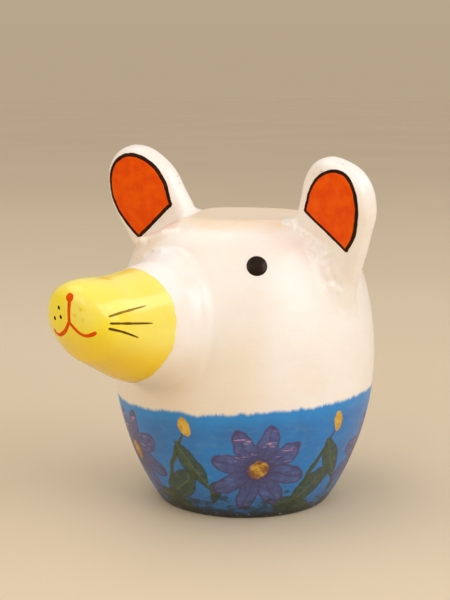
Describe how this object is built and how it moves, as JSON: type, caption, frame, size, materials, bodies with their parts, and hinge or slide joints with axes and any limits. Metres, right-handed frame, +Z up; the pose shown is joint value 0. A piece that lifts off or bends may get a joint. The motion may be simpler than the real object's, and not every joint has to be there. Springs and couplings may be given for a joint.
{
  "type": "mouse figurine",
  "caption": "Standing mouse ornament of turned and painted wood: a barrel body on a flat foot, a blunt upturned snout and splayed paddle ears.",
  "frame": {"origin": "centre of the foot, on the axis of the turned body", "axes": "+Z up along the turned body's axis, -Y the way the figure faces, +X the figure's left-hand side"},
  "size_m": [0.0892, 0.1001, 0.0939],
  "materials": {
    "body_paint": "pearl white enamel above, hand-brushed blue with a floral decoration below, satin gloss",
    "snout_paint": "yellow enamel, satin gloss, with painted whiskers and mouth",
    "ear_paint": "pearl white enamel with orange patches outlined in black",
    "filler_paint": "hand-modelled wood filler under pearl white enamel",
    "eye_lacquer": "black gloss lacquer",
    "dowel_wood": "bare beech"
  },
  "bodies": {
    "root": {"body": "body_paint", "snout": "snout_paint", "snout_dowel": "dowel_wood", "snout_filler": "filler_paint", "left_ear": "ear_paint", "left_ear_dowel": "dowel_wood", "left_ear_filler": "filler_paint", "right_ear": "ear_paint", "right_ear_dowel": "dowel_wood", "right_ear_filler": "filler_paint", "left_eye": "eye_lacquer", "right_eye": "eye_lacquer"}
  },
  "joints": []
}
